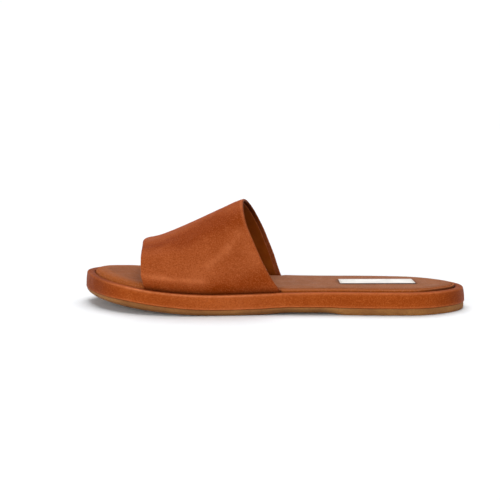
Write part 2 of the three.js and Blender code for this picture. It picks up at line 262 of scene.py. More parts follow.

# Painted highlights on the strap, which make it paler.
HIGHLIGHT_STROKES = [
    ((0.0, 0.088), (0.2, 0.085), 2.2, 0.14),
    ((0.1, 0.084), (0.47, 0.072), 2.0, 0.3),
    ((0.55, 0.145), (0.76, 0.217), 2.9, 0.24),
    ((0.76, 0.22), (0.9, 0.275), 2.8, 0.18),
    ((0.45, 0.1), (0.8, 0.13), 8.0, 0.1),
    ((0.94, 0.27), (0.95, 0.15), 6.5, 0.16),
    ((0.0, 0.914), (0.4, 0.92), 2.6, 0.25),
    ((0.55, 0.85), (0.95, 0.755), 2.4, 0.22),
]

LINING_EDGE = 1.8  # how far the lining stays back from the strap's front and rear edges
CUT_WIDTH = 0.25  # of the lining's cut edge
STROKE_FIELD = (80.0, 165.0)  # the strap's length and arch that the strokes' widths go by

# Steps of the meshes
STEPS_PER_ROW = 16  # between two rows of the outline
SECTION_STEPS = 40  # between two rows of the strap's arch, before they are evened out
STRAP_ALONG = 63  # rows of the strap between the closer ones at its edges
STRAP_OVER = 300  # over the arch
STRAP_BEND_STEPS = 6  # round the bend into each margin
STRAP_EDGE = 12  # round the strap's front and rear edges
WALL_STEPS = 9  # up the midsole's wall
CORNER_STEPS = 10  # round each corner of the label


def smooth(t):
    """0 to 1 with soft ends."""
    t = np.clip(t, 0.0, 1.0)
    return t * t * (3 - 2 * t)


def column(table, key, name, place):
    """One column of a table at many places, along a smooth curve through its rows."""
    x, y = np.array(table[key], float), np.array(table[name], float)
    step, rise = np.diff(x), np.diff(y)
    slope = np.empty(len(x))
    slope[0], slope[-1] = rise[0] / step[0], rise[-1] / step[-1]
    slope[1:-1] = (y[2:] - y[:-2]) / (x[2:] - x[:-2])
    slope[1:-1][rise[1:] * rise[:-1] <= 0] = 0.0
    place = np.clip(place, x[0], x[-1])
    i = np.clip(np.searchsorted(x, place, side="right") - 1, 0, len(x) - 2)
    t = (place - x[i]) / step[i]
    return (
        y[i] * (2 * t**3 - 3 * t**2 + 1)
        + slope[i] * step[i] * (t**3 - 2 * t**2 + t)
        + y[i + 1] * (3 * t**2 - 2 * t**3)
        + slope[i + 1] * step[i] * (t**3 - t**2)
    )


def spline(points, closed, steps):
    """Points along a centripetal curve through the given ones, and their directions."""
    points = np.asarray(points, float)
    count = len(points)
    if closed:
        padded = np.vstack([points[-1], points, points[:2]])
        spans = count
    else:
        padded = np.vstack([2 * points[0] - points[1], points, 2 * points[-1] - points[-2]])
        spans = count - 1
    t = np.linspace(0, 1, steps, endpoint=False)[:, None]
    places, ways = [], []
    for i in range(spans):
        p0, p1, p2, p3 = padded[i : i + 4]
        d0, d1, d2 = (math.sqrt(np.linalg.norm(b - a)) for a, b in ((p0, p1), (p1, p2), (p2, p3)))
        t1 = ((p1 - p0) / d0 - (p2 - p0) / (d0 + d1) + (p2 - p1) / d1) * d1
        t2 = ((p2 - p1) / d1 - (p3 - p1) / (d1 + d2) + (p3 - p2) / d2) * d1
        c2, c3 = -3 * p1 + 3 * p2 - 2 * t1 - t2, 2 * p1 - 2 * p2 + t1 + t2
        places.append(p1 + t1 * t + c2 * t**2 + c3 * t**3)
        ways.append(t1 + 2 * c2 * t + 3 * c3 * t**2)
    places, ways = np.vstack(places), np.vstack(ways)
    if not closed:
        places = np.vstack([places, points[-1]])
        ways = np.vstack([ways, ways[-1]])
    return places, ways / np.linalg.norm(ways, axis=1)[:, None]


# The sole's own surfaces


def profile(name, x):
    """A column of the sole's profile at a place along it."""
    return column(PROFILE, "along", name, x / SOLE_LENGTH + 0.5)


def spring_at(x):
    """How far the toe spring lifts the sole off the floor."""
    share = np.clip(1 - (SOLE_LENGTH / 2 - x) / SPRING_LENGTH, 0, 1)
    return TOE_SPRING * share**SPRING_POWER


def ground_at(x):
    return spring_at(x) + ARCH_RISE * profile("arch", x)


def seam_at(x):
    return spring_at(x) + OUTSOLE_THICKNESS * profile("outsole", x)


def rim_top_at(x):
    return spring_at(x) + SIDE_HEIGHT + HEEL_LIFT * profile("lift", x)


def floor_at(x):
    return seam_at(x) + MIDSOLE_FLOOR


def insole_edge_at(x):
    return rim_top_at(x) - INSOLE_SINK


def insole_top_at(x):
    return insole_edge_at(x) + INSOLE_CROWN + INSOLE_PAD * profile("pad", x)


outer_side = [((a - 0.5) * SOLE_LENGTH, o * BALL_WIDTH / 2) for a, o, _ in OUTLINE][::-1]
inner_side = [((a - 0.5) * SOLE_LENGTH, -i * BALL_WIDTH / 2) for a, _, i in OUTLINE]
tip = [(SOLE_LENGTH / 2, -TOE_SHIFT)]
outline, outline_way = spline(
    tip + outer_side + [(-SOLE_LENGTH / 2, 0.0)] + inner_side, True, STEPS_PER_ROW
)
RING = len(outline)


def ring(inset, height):
    """The outline drawn in by some millimetres, at a height. Both may be functions."""
    drawn_in = inset(outline[:, 0]) if callable(inset) else inset
    x = outline[:, 0] - outline_way[:, 1] * drawn_in
    y = outline[:, 1] + outline_way[:, 0] * drawn_in
    z = height(x) if callable(height) else np.full(RING, height, float)
    return np.stack([x, y, z], 1)


def across_at(side, x, inset):
    """How far to the side the drawn-in outline is, at a place along the sole."""
    points = ring(inset, 0.0)
    half = RING // 2
    part = points[: half + 1][::-1] if side > 0 else np.vstack([points[half:], points[:1]])
    return np.interp(x, part[:, 0], part[:, 1])


RIM_INSET = RIM_FLARE + RIM_WIDTH
INSOLE_INSET = RIM_INSET + CLEARANCE

# The shared frame is centred on the shoe's box, so every piece is moved sideways by this.
ASIDE = -(ring(0, 0.0)[:, 1].max() + ring(0, 0.0)[:, 1].min()) / 2


# Meshes


def closed_rows(rows, first=0):
    """Faces between closed rings that follow each other."""
    width = len(rows[0])
    faces = []
    for r in range(len(rows) - 1):
        a, b = first + r * width, first + (r + 1) * width
        for i in range(width):
            j = (i + 1) % width
            faces.append((a + i, a + j, b + j, b + i))
    return faces


def cover(loop, count, height, first, upward=True):
    """A surface over a closed ring, woven from side to side. loop is the ring, first its first
    vertex and count the cells across. It returns new points and faces."""
    half = len(loop) // 2
    points, faces = [], []
    start = first + len(loop)
    shares = np.linspace(0, 1, count + 1)[1:-1]
    for j in range(1, half):
        a, b = loop[j], loop[len(loop) - j]
        for share in shares:
            x, y = a[0] + (b[0] - a[0]) * share, a[1] + (b[1] - a[1]) * share
            points.append((x, y, 0.0))
    points = np.array(points)
    points[:, 2] = height(points[:, 0], points[:, 1])

    def at(j, k):
        if k == 0:
            return first + j
        if k == count:
            return first + len(loop) - j
        return start + (j - 1) * (count - 1) + k - 1

    for j in range(1, half - 1):
        for k in range(count):
            faces.append((at(j, k), at(j + 1, k), at(j + 1, k + 1), at(j, k + 1)))
    for k in range(count):
        faces.append((first, at(1, k), at(1, k + 1)))
        faces.append((first + half, at(half - 1, k + 1), at(half - 1, k)))
    return points, faces if upward else [face[::-1] for face in faces]


def close_end(verts, faces, rings, count, height, upward):
    """A solid's points and faces with its last ring covered, or its first ring where the cover
    faces down. count and height are those of the cover."""
    loop, first = (rings[-1], (len(rings) - 1) * RING) if upward else (rings[0], 0)
    extra, more = cover(loop, count, height, first, upward)
    shift = len(verts) - (first + RING)
    more = [tuple(v + shift if v >= first + RING else v for v in face) for face in more]
    return np.vstack([verts, extra]), faces + more


def strip_end(first, count, turn):
    """Faces that close the flat loop of count vertices at an end of a band, two by two."""
    faces = []
    low, high = 0, count - 1
    while high - low > 1:
        quad = (first + low, first + high, first + high - 1, first + low + 1)
        if high - low > 2:
            faces.append(quad[::turn])
        else:
            faces.append((quad[0], quad[1], quad[3])[::turn])
        low, high = low + 1, high - 1
    return faces


def piece(name, verts, faces, materials, sharp=50.0):
    """A smooth mesh piece from points in millimetres, in place in the shared frame."""
    verts = np.asarray(verts, float) + (0, ASIDE, 0)
    mesh = bpy.data.meshes.new(name)
    mesh.from_pydata((verts * MM).tolist(), [], [list(f) for f in faces])
    mesh.polygons.foreach_set("use_smooth", [True] * len(mesh.polygons))
    mesh.update()
    mesh.set_sharp_from_angle(angle=math.radians(sharp))
    for material in materials:
        mesh.materials.append(material)
    thing = bpy.data.objects.new(name, mesh)
    bpy.context.scene.collection.objects.link(thing)
    return thing


def paint(thing, name, values):
    """A number at each vertex that the materials read."""
    layer = thing.data.attributes.new(name=name, type="FLOAT", domain="POINT")
    layer.data.foreach_set("value", np.asarray(values, np.float32).ravel())


# Materials


class Paint:
    """A material's nodes, with short calls for the ones used here."""

    def __init__(self, name):
        self.material = bpy.data.materials.new(name)
        self.material.use_nodes = True
        self.nodes = self.material.node_tree.nodes
        self.links = self.material.node_tree.links
        self.shader = self.nodes["Principled BSDF"]
        self.place = self.nodes.new("ShaderNodeTexCoord").outputs["Object"]

    def put(self, value, socket):
        """Sets a socket, from a link, a colour or a number."""
        if isinstance(value, bpy.types.NodeSocket):
            self.links.new(value, socket)
        elif socket.type == "RGBA":
            socket.default_value = (*value[:3], 1.0)
        else:
            socket.default_value = value

    def noise(self, size, detail=3.0, rough=0.55, warp=0.0):
        """Soft noise with features of about size millimetres."""
        node = self.nodes.new("ShaderNodeTexNoise")
        self.put(self.place, node.inputs["Vector"])
        node.inputs["Scale"].default_value = 1000.0 / size
        node.inputs["Detail"].default_value = detail
        node.inputs["Roughness"].default_value = rough
        node.inputs["Distortion"].default_value = warp
        return node.outputs["Fac"]

    def cells(self, size):
        """Leather-like cells of about size millimetres, 0 at their middles."""
        node = self.nodes.new("ShaderNodeTexVoronoi")
        self.put(self.place, node.inputs["Vector"])
        node.inputs["Scale"].default_value = 1000.0 / size
        return node.outputs["Distance"]

    def attribute(self, name):
        """A number that was painted on the vertices."""
        node = self.nodes.new("ShaderNodeAttribute")
        node.attribute_name = name
        return node.outputs["Fac"]

    def ramp(self, value, low, high, to_low=0.0, to_high=1.0):
        """A value from low to high, turned softly into one from to_low to to_high."""
        node = self.nodes.new("ShaderNodeMapRange")
        node.interpolation_type = "SMOOTHSTEP"
        for name, number in (
            ("From Min", low),
            ("From Max", high),
            ("To Min", to_low),
            ("To Max", to_high),
        ):
            node.inputs[name].default_value = number
        self.put(value, node.inputs["Value"])
        return node.outputs["Result"]

    def math(self, operation, a, b):
        node = self.nodes.new("ShaderNodeMath")
        node.operation = operation
        self.put(a, node.inputs[0])
        self.put(b, node.inputs[1])
        return node.outputs["Value"]

    def mix(self, share, a, b):
        """From colour a to colour b."""
        node = self.nodes.new("ShaderNodeMix")
        node.data_type = "RGBA"
        self.put(share, node.inputs["Factor"])
        self.put(a, node.inputs["A"])
        self.put(b, node.inputs["B"])
        return node.outputs["Result"]

    def bump(self, height, depth, strength, below=None):
        """Relief from a height, over the relief below. depth is in millimetres."""
        node = self.nodes.new("ShaderNodeBump")
        node.inputs["Strength"].default_value = strength
        node.inputs["Distance"].default_value = depth * MM
        self.put(height, node.inputs["Height"])
        if below is not None:
            self.put(below, node.inputs["Normal"])
        return node.outputs["Normal"]

    def gloss(self, level, tint=(1.0, 1.0, 1.0)):
        """How strongly the surface mirrors light straight on, and in which colour."""
        self.shader.inputs["Specular IOR Level"].default_value = level
        self.shader.inputs["Specular Tint"].default_value = (*tint, 1.0)

    def finish(self, **sockets):
        """Sets the shader's own sockets and returns the material."""
        for name, value in sockets.items():
            self.put(value, self.shader.inputs[name.replace("_", " ").title()])
        return self.material


def linear(red, green, blue):
    """A colour given as 0 to 255 in the picture, for the shader."""
    channel = np.array([red, green, blue]) / 255.0
    low = channel / 12.92
    high = ((channel + 0.055) / 1.055) ** 2.4
    return tuple(float(v) for v in np.where(channel <= 0.04045, low, high))


# The wax on the leather warms what it mirrors, and the matte surfaces do so less.
GLOSS_TINT = (1.0, 0.5, 0.3)
MATTE_TINT = (1.0, 0.7, 0.5)

BROWN = linear(166, 82, 39)
BROWN_DEEP = linear(133, 52, 4)
BROWN_BRIGHT = linear(184, 98, 54)
RIM_BROWN = linear(168, 79, 27)
RIM_DEEP = linear(140, 57, 7)
RIM_BRIGHT = linear(188, 99, 47)
# The colour of painted highlights and of pale wear and cut edges on the leather.
PALE_HIGHLIGHT_LEATHER = linear(214, 124, 76)


def leather(name, middle, deep, pale, shine, roughness):
    """Smooth waxed leather with a fine grain. It is deeper in colour under its deep tone and painted
    shade, paler under painted highlights and pale wear and edges, and darkest under the shade
    painted in the tucks and creases. shine is how much it mirrors straight on, and
    roughness runs from its smoothest to its roughest places."""
    p = Paint(name)
    # Deeper tone with painted shade.
    colour = p.mix(p.attribute("deep_tone_and_shade"), middle, deep)
    colour = p.mix(p.ramp(p.noise(30, 3, 0.5, 0.3), 0.36, 0.66, 0.0, 0.35), colour, deep)
    colour = p.mix(p.ramp(p.noise(12, 2), 0.52, 0.8, 0, 0.3), colour, pale)
    speck = p.noise(0.75, 3, 0.7)
    colour = p.mix(p.ramp(speck, 0.5, 0.64, 0.0, 0.55), colour, tuple(0.8 * c for c in deep))
    colour = p.mix(p.ramp(speck, 0.5, 0.36, 0.0, 0.5), colour, pale)
    # Painted highlights and pale wear.
    pale_and_highlight = p.math("MULTIPLY", p.attribute("pale_and_highlight"), p.ramp(p.noise(2.6, 3), 0.3, 0.6, 0.55, 1.0))
    colour = p.mix(pale_and_highlight, colour, PALE_HIGHLIGHT_LEATHER)
    # Painted shade in the tucks and creases.
    colour = p.mix(p.attribute("painted_shade"), colour, tuple(0.25 * c for c in deep))
    normal = p.bump(p.cells(0.9), 0.08, 0.6)
    normal = p.bump(p.noise(0.9, 3, 0.7), 0.06, 0.6, normal)
    normal = p.bump(p.noise(8, 2), 0.2, 0.3, normal)
    p.gloss(shine, GLOSS_TINT)
    rough = p.ramp(p.noise(9, 3), 0.3, 0.7, *roughness)
    return p.finish(base_color=colour, roughness=rough, normal=normal)


def lining_leather():
    """Unfinished lining inside the strap, with pores, darkened by painted shade."""
    p = Paint("strap_lining")
    colour = p.mix(p.ramp(p.noise(14, 3), 0.3, 0.7), linear(160, 76, 18), linear(176, 92, 26))
    pores = p.ramp(p.cells(1.1), 0.0, 0.2, 1.0, 0.0)
    colour = p.mix(pores, colour, linear(86, 36, 8))
    # Painted shade inside the strap.
    colour = p.mix(p.attribute("painted_shade"), colour, linear(40, 14, 3))
    p.gloss(0.2, GLOSS_TINT)
    normal = p.bump(pores, -0.06, 0.6)
    normal = p.bump(p.noise(0.7, 3), 0.05, 0.5, normal)
    return p.finish(base_color=colour, roughness=0.8, normal=normal)


def footbed_leather():
    """Matte brushed leather, greyer on its open face than at its turned edge."""
    p = Paint("footbed_leather")
    open_face = p.mix(p.ramp(p.noise(20, 3), 0.3, 0.7), linear(138, 84, 54), linear(152, 92, 57))
    colour = p.mix(p.attribute("turned"), open_face, linear(158, 80, 26))
    speck = p.noise(0.9, 3, 0.6)
    colour = p.mix(p.ramp(speck, 0.5, 0.66, 0.0, 0.4), colour, linear(104, 60, 34))
    colour = p.mix(p.ramp(speck, 0.48, 0.34, 0.0, 0.35), colour, linear(184, 128, 98))
    # Painted highlight.
    colour = p.mix(p.attribute("pale_and_highlight"), colour, linear(190, 110, 62))
    # Painted shade.
    colour = p.mix(p.attribute("painted_shade"), colour, linear(70, 28, 6))
    normal = p.bump(p.cells(0.7), 0.05, 0.6)
    normal = p.bump(p.noise(0.35, 2), 0.04, 0.6, normal)
    p.gloss(0.2, MATTE_TINT)
    rough = p.ramp(p.noise(6, 2), 0.3, 0.7, 0.66, 0.8)
    return p.finish(base_color=colour, roughness=rough, normal=normal)


def outsole_rubber():
    """Moulded tan sole: matte, with a fine spark texture, and painted shade low on its side."""
    p = Paint("outsole_rubber")
    colour = p.mix(p.ramp(p.noise(18, 3), 0.3, 0.7), linear(138, 88, 46), linear(162, 110, 60))
    colour = p.mix(p.ramp(p.noise(1.1, 2), 0.4, 0.7, 0.0, 0.35), colour, linear(108, 68, 38))
    # Painted shade low on the side and underneath.
    colour = p.mix(p.attribute("painted_shade"), colour, linear(62, 36, 16))
    normal = p.bump(p.noise(0.55, 3, 0.7), 0.06, 0.7)
    p.gloss(0.25, MATTE_TINT)
    rough = p.ramp(p.noise(5, 2), 0.3, 0.7, 0.6, 0.78)
    return p.finish(base_color=colour, roughness=rough, normal=normal)


def label_cloth():
    """A plain white label with fine ribs across, faintly soiled."""
    p = Paint("label_cloth")
    colour = p.mix(p.ramp(p.noise(9, 3), 0.35, 0.7), linear(246, 243, 238), linear(232, 228, 222))
    ribs = p.nodes.new("ShaderNodeTexWave")
    ribs.bands_direction = "X"
    # At scale 1 the node's waves are a tenth of pi apart.
    ribs.inputs["Scale"].default_value = math.pi / 10 / (LABEL_RIB * MM)
    p.put(p.place, ribs.inputs["Vector"])
    colour = p.mix(p.attribute("border"), colour, linear(176, 160, 150))
    normal = p.bump(ribs.outputs["Fac"], 0.02, 0.4)
    return p.finish(base_color=colour, roughness=0.55, normal=normal)


def shaded_label_side():
    """The glued side of the label, painted dark as the shade under its raised edge."""
    p = Paint("shaded_label_side")
    colour = p.mix(p.ramp(p.noise(1.5, 2), 0.35, 0.65), linear(70, 44, 32), linear(108, 74, 58))
    return p.finish(base_color=colour, roughness=0.8, normal=p.bump(p.noise(0.4, 2), 0.05, 0.6))


strap_leather = leather("strap_leather", BROWN, BROWN_DEEP, BROWN_BRIGHT, 0.07, (0.58, 0.72))
rim_leather = leather("rim_leather", RIM_BROWN, RIM_DEEP, RIM_BRIGHT, 0.1, (0.5, 0.64))
lining = lining_leather()


# Strap


def strap_middle(places):
    """The middle of the strap's wall: sections from front to rear, each from the outer margin
    over the arch to the inner margin. It also returns how high over the rim each point is."""
    half = STRAP_WALL / 2
    toe = SOLE_LENGTH / 2
    sections, over_rim = [], []
    wall_inset = RIM_INSET + CLEARANCE + half
    for at in places:
        outer_x, inner_x, ridge_x = (
            toe - start - half + (2 * half - length) * at
            for start, length in (STRAP_OUTER, STRAP_INNER, STRAP_RIDGE)
        )
        outer_y = across_at(1, outer_x, wall_inset)
        inner_y = across_at(-1, inner_x, wall_inset)
        ridge = STRAP_INSTEP_HEIGHT * column(RIDGE, "at", "rise", at) - half
        rows = []
        for front, rear in zip(ARCH_FRONT, ARCH_REAR):
            across, up, lean = np.array(front) * (1 - at) + np.array(rear) * at
            share = (across + 1) / 2
            low_inner, low_outer = rim_top_at(inner_x), rim_top_at(outer_x)
            low = low_inner + (low_outer - low_inner) * np.clip(share, 0, 1)
            x = (outer_x if across > 0 else inner_x) * (1 - lean) + ridge_x * lean
            rows.append((x, inner_y + (outer_y - inner_y) * share, low + up * ridge))
        fine, _ = spline(rows, False, SECTION_STEPS)
        length = np.r_[0, np.cumsum(np.linalg.norm(np.diff(fine, axis=0), axis=1))]
        even = np.linspace(0, length[-1], STRAP_OVER + 1)
        arch = np.stack([np.interp(even, length, fine[:, k]) for k in range(3)], 1)
        feet = []
        for side, x, y in ((1, outer_x, outer_y), (-1, inner_x, inner_y)):
            low = floor_at(x) + CLEARANCE + half
            foot = [(x, y - side * (STRAP_BEND + STRAP_MARGIN), low)]
            for angle in np.radians(np.linspace(0, 90, STRAP_BEND_STEPS)):
                inward = STRAP_BEND * (1 - math.sin(angle))
                foot.append((x, y - side * inward, low + STRAP_BEND * (1 - math.cos(angle))))
            middle = (low + STRAP_BEND + rim_top_at(x)) / 2
            foot.append((x, y, middle))
            feet.append(np.array(foot))
        section = np.vstack([feet[0], arch, feet[1][::-1]])
        sections.append(section)
        over_rim.append(section[:, 2] - rim_top_at(section[:, 0]))
    return np.array(sections), np.array(over_rim)


def strokes(table, share_along, share_over):
    """The sum of a table's strokes at each place of the strap."""
    size = np.array(STROKE_FIELD)
    here = np.stack([share_along, share_over], -1) * size
    total = np.zeros(share_along.shape)
    for start, end, width, amount in table:
        a, b = np.array(start) * size, np.array(end) * size
        way = b - a
        t = np.clip(((here - a) @ way) / (way @ way), 0, 1)
        gap = np.linalg.norm(here - (a + t[..., None] * way), axis=-1)
        total += amount * np.exp(-((gap / width) ** 2))
    return total


def make_strap():
    """The wall with its folds, lined inside, its margins turned in under the footbed."""
    # Rows lie closer together at the front and rear edges.
    edge_rows = np.array([0.0, 0.4, 0.8, 1.15, 1.45, 1.7, 1.95, 2.2, 2.6, 3.2, 4.0])
    edge_rows = edge_rows / STROKE_FIELD[0]
    places = np.r_[edge_rows, np.linspace(0.062, 0.938, STRAP_ALONG), 1 - edge_rows[::-1]]
    middle, over_rim = strap_middle(places)
    sections, count = middle.shape[:2]
    back = np.gradient(middle, axis=0)
    over = np.gradient(middle, axis=1)
    normal = np.cross(back, over)
    normal /= np.linalg.norm(normal, axis=2)[..., None]
    half = STRAP_WALL / 2

    # Distances along the surface from its nearer edge
    pace = np.linalg.norm(np.diff(middle, axis=0), axis=2)
    along = np.vstack([np.zeros(count), np.cumsum(pace, axis=0)])
    from_edge = np.minimum(along, along[-1] - along)
    margin_rows = STRAP_BEND_STEPS + 2
    share_over = np.clip((np.arange(count) - margin_rows) / STRAP_OVER, 0, 1)
    grid = np.meshgrid(places, share_over, indexing="ij")
    free = smooth((over_rim - 1.0) / 5.0)
    fold = strokes(FOLDS, *grid) * free
    # The leather is turned over at its edges, and the wall is thinner outside the lining.
    turned = 0.08 * np.exp(-(((from_edge - 1.5) / 1.2) ** 2))
    turned -= 0.05 * np.exp(-(((from_edge - 3.8) / 1.0) ** 2))
    skived = 0.35 * (1 - smooth((from_edge - LINING_EDGE + 0.2) / 0.4)) * free
    out = middle + normal * (half + fold + turned * free)[..., None]
    inward = middle + normal * (fold - half + skived)[..., None]

    # Closed loops round the wall, from the outer margin to the inner one: the face, the rounded
    # rear edge, the inside and the rounded front edge.
    loops = []
    for k in range(count):
        rounds = []
        for s, sign in ((sections - 1, 1), (0, -1)):
            way = np.cross(over[s, k], normal[s, k])
            way *= sign / np.linalg.norm(way)
            centre = (out[s, k] + inward[s, k]) / 2
            reach = (out[s, k] - inward[s, k]) / 2 * sign
            angles = np.radians(np.linspace(0, 180, STRAP_EDGE + 1)[1:-1])
            rounds.append(
                [centre + reach * math.cos(a) + way * half * math.sin(a) for a in angles]
            )
        loops.append(np.vstack([out[:, k], rounds[0], inward[::-1, k], rounds[1]]))
    verts = np.vstack(loops)
    width_of_loop = len(loops[0])
    faces = closed_rows(loops)
    faces += strip_end(0, width_of_loop, 1)
    faces += strip_end(len(verts) - width_of_loop, width_of_loop, -1)
    thing = piece("strap", verts, faces, [strap_leather, lining])

    # The lining covers the inside up to the turned edge.
    slot_of = np.zeros(len(faces), np.int32)
    first_inside = sections + STRAP_EDGE - 1
    for k in range(count - 1):
        for i in range(sections - 1):
            s = sections - 1 - i
            if min(from_edge[s, k], from_edge[s - 1, k]) > LINING_EDGE + 0.15:
                slot_of[k * width_of_loop + first_inside + i] = 1
    thing.data.polygons.foreach_set("material_index", slot_of)

    paint_strap(thing, grid, over_rim, from_edge, free)
    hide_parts("upper")
    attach(thing, "root")


def paint_strap(thing, grid, over_rim, from_edge, free):
    """The strap's painted shade, its deeper tone with painted shade, and its painted highlights.
    grid holds the shares along and over it.
    """
    # Painted shade darkens it where it goes in behind the rim, and a painted highlight lies along
    # its rear edge over the instep.
    tuck_shade = 0.85 * np.exp(-np.clip(over_rim, 0, None) / 1.95)
    # Painted shade from the strokes makes the leather deeper in colour.
    deep_tone_and_shade = np.clip(strokes(SHADE_STROKES, *grid), 0, 1)
    # A painted highlight along the rear edge over the instep, and the painted highlights of the
    # strokes.
    over_instep = smooth((grid[1] - 0.2) / 0.15) * smooth((0.8 - grid[1]) / 0.15)
    crest_highlight = 0.28 * np.exp(-((from_edge / 0.9) ** 2)) * free * over_instep * (grid[0] > 0.5)
    pale_and_highlight = np.clip(strokes(HIGHLIGHT_STROKES, *grid) * free + crest_highlight, 0, 1)

    # Painted shade darkens the inside under the ridge. The lining's cut edge is pale, and the turned
    # leather beside it is painted paler on the sides as a painted highlight, and darker under the
    # ridge as painted shade.
    under_ridge = np.exp(-(((grid[1] - 0.5) / 0.24) ** 2))
    turned_in = from_edge < LINING_EDGE - CUT_WIDTH
    inside_pale_and_highlight = 0.75 * np.exp(-(((from_edge - LINING_EDGE) / CUT_WIDTH) ** 2))
    inside_pale_and_highlight += 0.55 * (1 - under_ridge) * turned_in
    turned_shade = (0.1 + 0.55 * under_ridge) * turned_in
    inside_shade = np.clip(turned_shade + 0.8 * under_ridge + tuck_shade, 0, 1)

    def paint_loops(name, face, inside):
        """Values on the face and the inside, which blend round the rear and front edges."""
        rows = []
        share = np.linspace(0, 1, STRAP_EDGE + 1)[1:-1]
        for k in range(face.shape[1]):
            rear, front = face[-1, k], face[0, k]
            rear_in, front_in = inside[-1, k], inside[0, k]
            rows += [face[:, k], rear + (rear_in - rear) * share]
            rows += [inside[::-1, k], front_in + (front - front_in) * share]
        paint(thing, name, np.concatenate(rows))

    # Painted shade, then the deeper tone with painted shade, then the pale cut edge with painted
    # highlights.
    paint_loops("painted_shade", tuck_shade, inside_shade)
    paint_loops("deep_tone_and_shade", deep_tone_and_shade, np.ones_like(tuck_shade))
    paint_loops("pale_and_highlight", pale_and_highlight, inside_pale_and_highlight)


# Midsole: a board wrapped in leather, with a raised rim


def make_midsole():
    """The wrapped board, from under the seam up its wall and over the rim to its floor."""
    outer_middle = RIM_FLARE + RIM_OUTER_RADIUS
    inner_middle = RIM_INSET - RIM_INNER_RADIUS
    rings, painted_shade, pale_and_highlight, deep_tone_and_shade = [], [], [], []
    # Painted shade deepens and darkens the leather at the toe and the heel, and painted light makes
    # it paler and less deep beside the strap.
    at_end = smooth((np.abs(outline[:, 0] + 5) - 92) / 30)
    beside_strap = np.exp(-(((outline[:, 0] - 23) / 32) ** 2))

    def add(points, how_shaded=0.0, how_highlit=0.0, how_deep=0.35):
        rings.append(points)
        painted_shade.append(np.clip(how_shaded + 0.3 * at_end**2, 0, 1))
        pale_and_highlight.append(np.clip(how_highlit + 0.14 * beside_strap, 0, 1))
        deep_tone_and_shade.append(np.clip(how_deep + 0.7 * at_end - 0.5 * beside_strap, 0, 1))

    for inset, up, how_shaded, how_highlit in SEAM_TURN:
        add(ring(inset, lambda x, up=up: seam_at(x) + up), how_shaded, how_highlit)
    for share in np.linspace(0.12, 0.92, WALL_STEPS):
        bulge = math.sin(math.pi * share)

        def wall(x, share=share):
            low, high = seam_at(x) + WALL_START, rim_top_at(x) - RIM_OUTER_RADIUS
            return low + (high - low) * share

        inset = RIM_FLARE * share**1.3 - WALL_PUFF * bulge
        add(ring(inset, wall), how_deep=0.25 + 0.25 * bulge)

    # A painted highlight, with some wear in it, runs along the rim's outer edge, most beside the
    # strap.
    wear_and_highlight = 0.35 + 0.65 * smooth((outline[:, 0] + 15) / 40) * smooth((112 - outline[:, 0]) / 35)

    def rounding(middle, radius, start, end, steps):
        """Rings round an edge of the rim, and how much painted highlight each has. The angles are
        degrees.
        """
        for angle in np.radians(np.linspace(start, end, steps)):
            inset = middle - radius * math.cos(angle)
            drop = radius * (1 - math.sin(angle))
            share = math.exp(-(((math.degrees(angle) - 50) / 30) ** 2))
            yield ring(inset, lambda x, drop=drop: rim_top_at(x) - drop), wear_and_highlight * share

    for points, how_highlit in rounding(outer_middle, RIM_OUTER_RADIUS, 2, 84, 10):
        add(points, 0.0, how_highlit)
    for share in (0.2, 0.5, 0.8):
        inset = outer_middle + (inner_middle - outer_middle) * share
        add(ring(inset, lambda x: rim_top_at(x) + RIM_CROWN), 0.0, 0.1)
    # Painted shade darkens the inside of the rim down to the floor.
    for points, _ in rounding(inner_middle, RIM_INNER_RADIUS, 100, 178, 7):
        add(points, 0.1)
    add(ring(RIM_INSET, lambda x: rim_top_at(x) - RIM_SHADED), 0.6)
    add(ring(RIM_INSET, floor_at), 0.9)

    verts = np.vstack(rings)
    faces = closed_rows(rings)
    verts, faces = close_end(verts, faces, rings, 12, lambda x, y: floor_at(x), True)
    verts, faces = close_end(verts, faces, rings, 12, lambda x, y: seam_at(x), False)
    hidden = len(verts) - len(rings) * RING
    for values, value in ((painted_shade, 0.6), (pale_and_highlight, 0.0), (deep_tone_and_shade, 1.0)):
        values.append(np.full(hidden, value))
    thing = piece("midsole_cover", verts, faces, [rim_leather])
    for name, values in (("painted_shade", painted_shade), ("pale_and_highlight", pale_and_highlight), ("deep_tone_and_shade", deep_tone_and_shade)):
        paint(thing, name, np.concatenate(values))
    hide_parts("midsole")
    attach(thing, "root")


# Label and footbed


def from_label(x, y):
    """A place on the sole in the label's own frame."""
    turn = math.radians(LABEL_TURN)
    x, y = x - (LABEL_FROM_HEEL - SOLE_LENGTH / 2), y - LABEL_ASIDE
    return x * math.cos(turn) + y * math.sin(turn), y * math.cos(turn) - x * math.sin(turn)


def beside_label(x, y):
    """How far a place is from the label, in millimetres."""
    u, v = from_label(x, y)
    lie_u = np.clip(np.abs(u) - LABEL_SIZE[0] / 2, 0, None)
    lie_v = np.clip(np.abs(v) - LABEL_SIZE[1] / 2, 0, None)
    return np.hypot(lie_u, lie_v)


def to_sole(u, v):
    """A place on the label in the sole's frame."""
    turn = math.radians(LABEL_TURN)
    x = u * math.cos(turn) - v * math.sin(turn) + LABEL_FROM_HEEL - SOLE_LENGTH / 2
    return x, u * math.sin(turn) + v * math.cos(turn) + LABEL_ASIDE


def strap_presence(x, y):
    """1 where the strap stands between the footbed and the rim, and 0 a little way beyond."""
    toe = SOLE_LENGTH / 2
    there = np.zeros(len(x))
    for side, (start, length) in ((1, STRAP_OUTER), (-1, STRAP_INNER)):
        front, rear = toe - start, toe - start - length
        on_side = y * side > 0
        share = smooth((x - rear) / FOOTBED_EASE + 1) * smooth((front - x) / FOOTBED_EASE + 1)
        there = np.where(on_side, share, there)
    return there


def flat_edge(inward):
    """The footbed's height at the toe, where its edge lies flat, as a share of the crown."""
    return 1 - math.exp(-(((inward + 0.35) / 1.5) ** 1.3))


